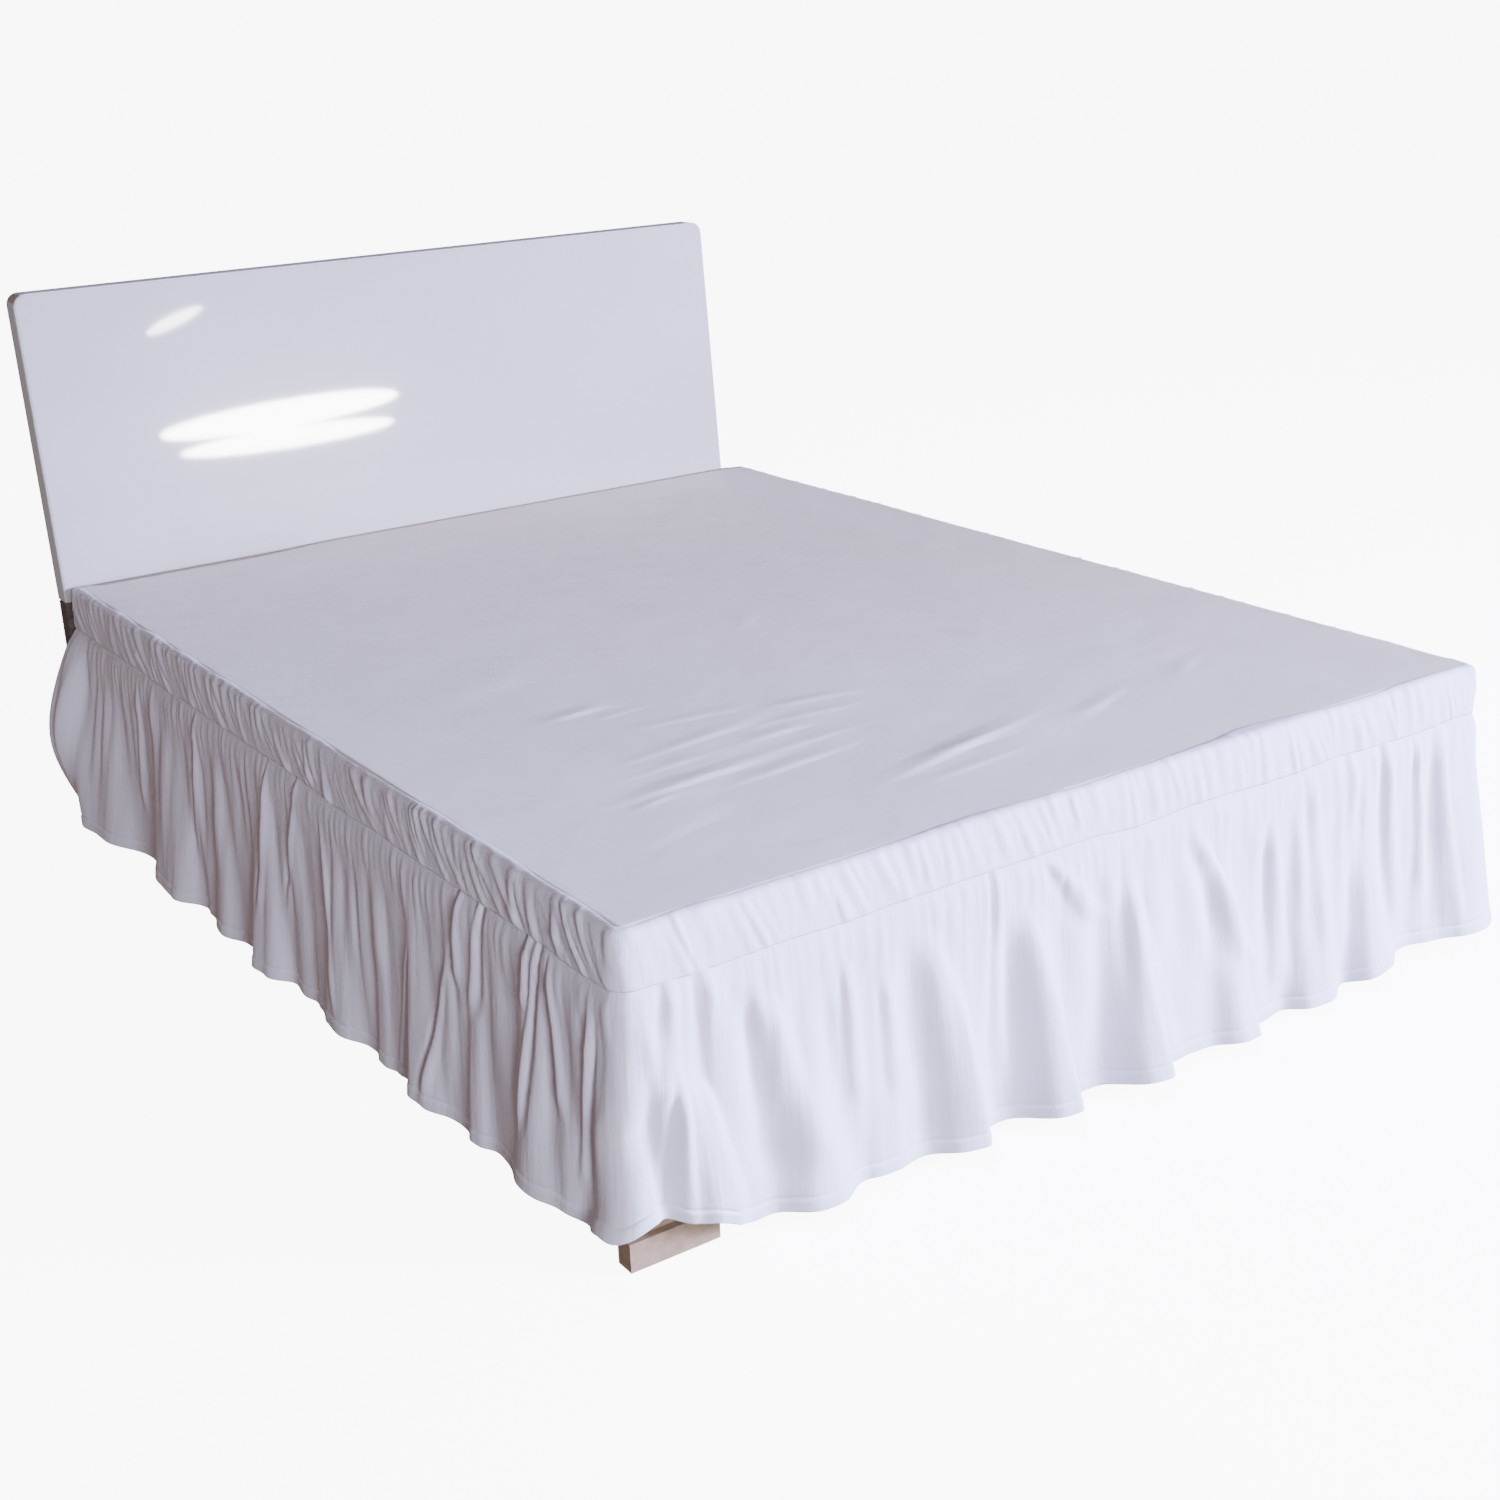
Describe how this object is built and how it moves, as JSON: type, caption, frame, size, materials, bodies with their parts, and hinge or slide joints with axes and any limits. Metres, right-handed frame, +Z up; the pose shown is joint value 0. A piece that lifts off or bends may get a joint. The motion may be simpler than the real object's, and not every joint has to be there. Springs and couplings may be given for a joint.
{
  "type": "bed skirt on a bed",
  "caption": "Cotton bed skirt with a deck panel, a shirred heading band and a gathered drop to the floor, fitted on a plain bed base with a glossy headboard.",
  "frame": {"origin": "on the floor under the middle of the bed", "axes": "+X to the bed's right for someone standing at its foot, +Y to the headboard, +Z up"},
  "size_m": [1.666, 2.1765, 0.99],
  "materials": {
    "cotton": "matte",
    "bed_wood": "satin",
    "white_gloss": "gloss",
    "dark_wood": "satin"
  },
  "bodies": {
    "root": {"deck": "cotton", "band_left": "cotton", "band_foot": "cotton", "band_right": "cotton", "ruffle_left": "cotton", "ruffle_foot": "cotton", "ruffle_right": "cotton", "platform": "bed_wood", "side_board_left": "bed_wood", "side_board_right": "bed_wood", "foot_board": "bed_wood", "head_board": "bed_wood", "centre_rail": "bed_wood", "foot_near_left": "bed_wood", "foot_near_right": "bed_wood", "foot_far_left": "bed_wood", "foot_far_right": "bed_wood", "foot_centre": "bed_wood", "headboard": "white_gloss", "headboard_leg_left": "dark_wood", "headboard_leg_right": "dark_wood"}
  },
  "joints": []
}
